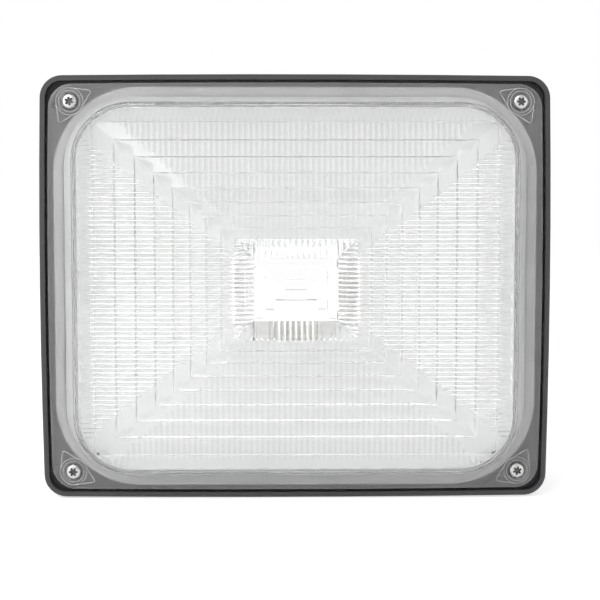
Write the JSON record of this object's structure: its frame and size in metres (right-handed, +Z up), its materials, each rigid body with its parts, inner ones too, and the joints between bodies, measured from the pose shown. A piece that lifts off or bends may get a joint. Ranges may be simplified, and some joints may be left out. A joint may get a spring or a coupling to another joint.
{
  "type": "led canopy light",
  "caption": "Rectangular LED canopy light with a dark cast housing, a clear stepped and fluted prism lens held by corner screws, and a hinged wall plate.",
  "frame": {"origin": "centre of the mounting plate's wire hole, on the face that lies against the wall", "axes": "+X to the right and +Z up as the light is seen from the front; the lens faces -Y and the wall is at +Y"},
  "size_m": [0.241, 0.088, 0.2],
  "materials": {
    "dark_paint": "fine-textured dark powder coat",
    "zinc_steel": "zinc-plated sheet steel",
    "clear_cover": "clear injection-moulded polycarbonate",
    "silicone": "light grey silicone",
    "black_rubber": "moulded rubber",
    "stainless": "stainless steel",
    "reflector_white": "gloss white coil-coated sheet",
    "thermal_grey": "silicone thermal pad",
    "led_ceramic": "white ceramic substrate",
    "phosphor": "silicone-covered phosphor",
    "holder_plastic": "white moulded plastic",
    "driver_black": "black moulded case",
    "driver_lid": "plain aluminium sheet",
    "block_plastic": "natural nylon",
    "brass": "tinned brass",
    "lead_red": "insulated lead",
    "lead_black": "insulated lead",
    "lead_white": "insulated lead",
    "lead_green": "insulated lead",
    "vent_plastic": "black moulded plastic"
  },
  "bodies": {
    "plate": {"mounting_plate": "zinc_steel", "hinge_lugs": "zinc_steel", "latch_tabs": "zinc_steel", "plate_gasket": "black_rubber"},
    "light": {"rear_housing": "dark_paint", "hinge_pins": "stainless", "latch_screws": "stainless", "seam_gasket": "black_rubber", "housing_screws": "stainless", "front_housing": "dark_paint", "lens": "clear_cover", "lens_gasket": "silicone", "lens_screws": "stainless", "reflector": "reflector_white", "reflector_screws": "reflector_white", "thermal_pad": "thermal_grey", "led_module": "led_ceramic", "led_phosphor": "phosphor", "led_holder": "holder_plastic", "holder_screws": "stainless", "driver_case": "driver_black", "driver_cover": "driver_lid", "driver_screws": "stainless", "terminal_block": "block_plastic", "block_screws": "stainless", "terminal_screws": "brass", "lead_positive": "lead_red", "lead_negative": "lead_black", "lead_live": "lead_black", "lead_neutral": "lead_white", "lead_ground": "lead_green", "lead_grommet": "black_rubber", "ground_terminal": "brass", "ground_screw": "stainless", "conduit_plugs": "dark_paint", "plug_seals": "black_rubber", "vent_plug": "vent_plastic"}
  },
  "joints": [
    {"name": "swing", "type": "hinge", "parent": "plate", "child": "light", "pos_m": [0, -0.012, 0.092], "axis": [-1, 0, 0], "range_deg": [0, 90]}
  ]
}
